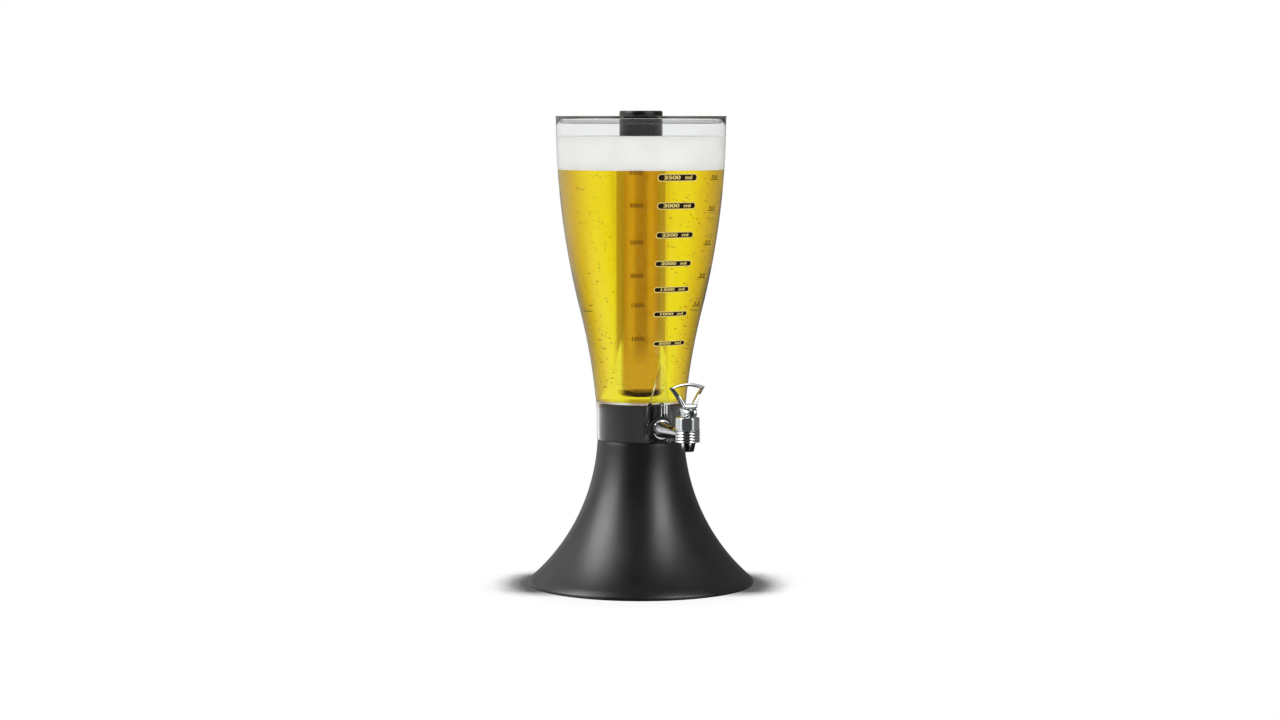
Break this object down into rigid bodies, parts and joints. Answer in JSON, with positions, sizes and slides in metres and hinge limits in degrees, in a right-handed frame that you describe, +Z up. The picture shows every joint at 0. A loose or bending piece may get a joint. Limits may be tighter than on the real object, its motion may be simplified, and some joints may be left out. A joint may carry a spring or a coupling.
{
  "type": "beer tower dispenser",
  "caption": "Clear flared drink tower on a black trumpet-shaped base, with a lift-out ice tube, lid, cap and a sprung chrome lever tap.",
  "frame": {"origin": "centre of the round foot at table level, on the tower's axis", "axes": "+Z up the tower's axis, -Y towards the tap, +X to the right as seen from the tap's side"},
  "size_m": [0.25, 0.2605, 0.5248],
  "materials": {
    "base_black": "satin black moulded plastic",
    "cap_black": "semi-gloss black moulded plastic",
    "clear_plastic": "clear, polished",
    "black_rubber": "matt",
    "silicone": "matt, milky",
    "chrome": "polished",
    "steel": "stainless"
  },
  "bodies": {
    "base": {"base_shell": "base_black", "base_spigot": "base_black", "base_cover": "base_black", "cover_screws": "steel", "foot_pads": "black_rubber"},
    "jar": {"jar_shell": "clear_plastic", "jar_foot": "clear_plastic", "tap_gasket": "black_rubber", "tap_body": "chrome", "tap_nozzle": "chrome", "tap_bonnet": "chrome", "bonnet_washer": "black_rubber", "stem_seal": "black_rubber"},
    "lid": {"jar_lid": "clear_plastic", "ice_tube": "clear_plastic", "tube_collar": "cap_black"},
    "cap": {"tube_cap": "cap_black", "cap_seal": "black_rubber"},
    "stem": {"tap_stem": "steel", "seat_cup": "silicone", "stem_spring": "steel"},
    "handle": {"tap_handle": "chrome", "handle_pin": "steel"}
  },
  "joints": [
    {"name": "jar_lift", "type": "slide", "parent": "base", "child": "jar", "axis": [0, 0, 1], "range_m": [0, 0.045]},
    {"name": "lid_lift", "type": "slide", "parent": "jar", "child": "lid", "axis": [0, 0, 1], "range_m": [0, 0.315]},
    {"name": "cap_lift", "type": "slide", "parent": "lid", "child": "cap", "axis": [0, 0, 1], "range_m": [0, 0.02]},
    {"name": "stem_slide", "type": "slide", "parent": "jar", "child": "stem", "axis": [0, 0, 1], "range_m": [0, 0.0034], "deforming": ["stem_spring"]},
    {"name": "handle_tilt", "type": "hinge", "parent": "stem", "child": "handle", "pos_m": [0, -0.122, 0.2035], "axis": [1, 0, 0], "range_deg": [0, 45], "stiffness_Nm_per_rad": 0.028, "springref_deg": -53.29}
  ],
  "couplings": [
    {"joint": "stem_slide", "follows": "handle_tilt", "m_per_rad": 0.0043}
  ]
}
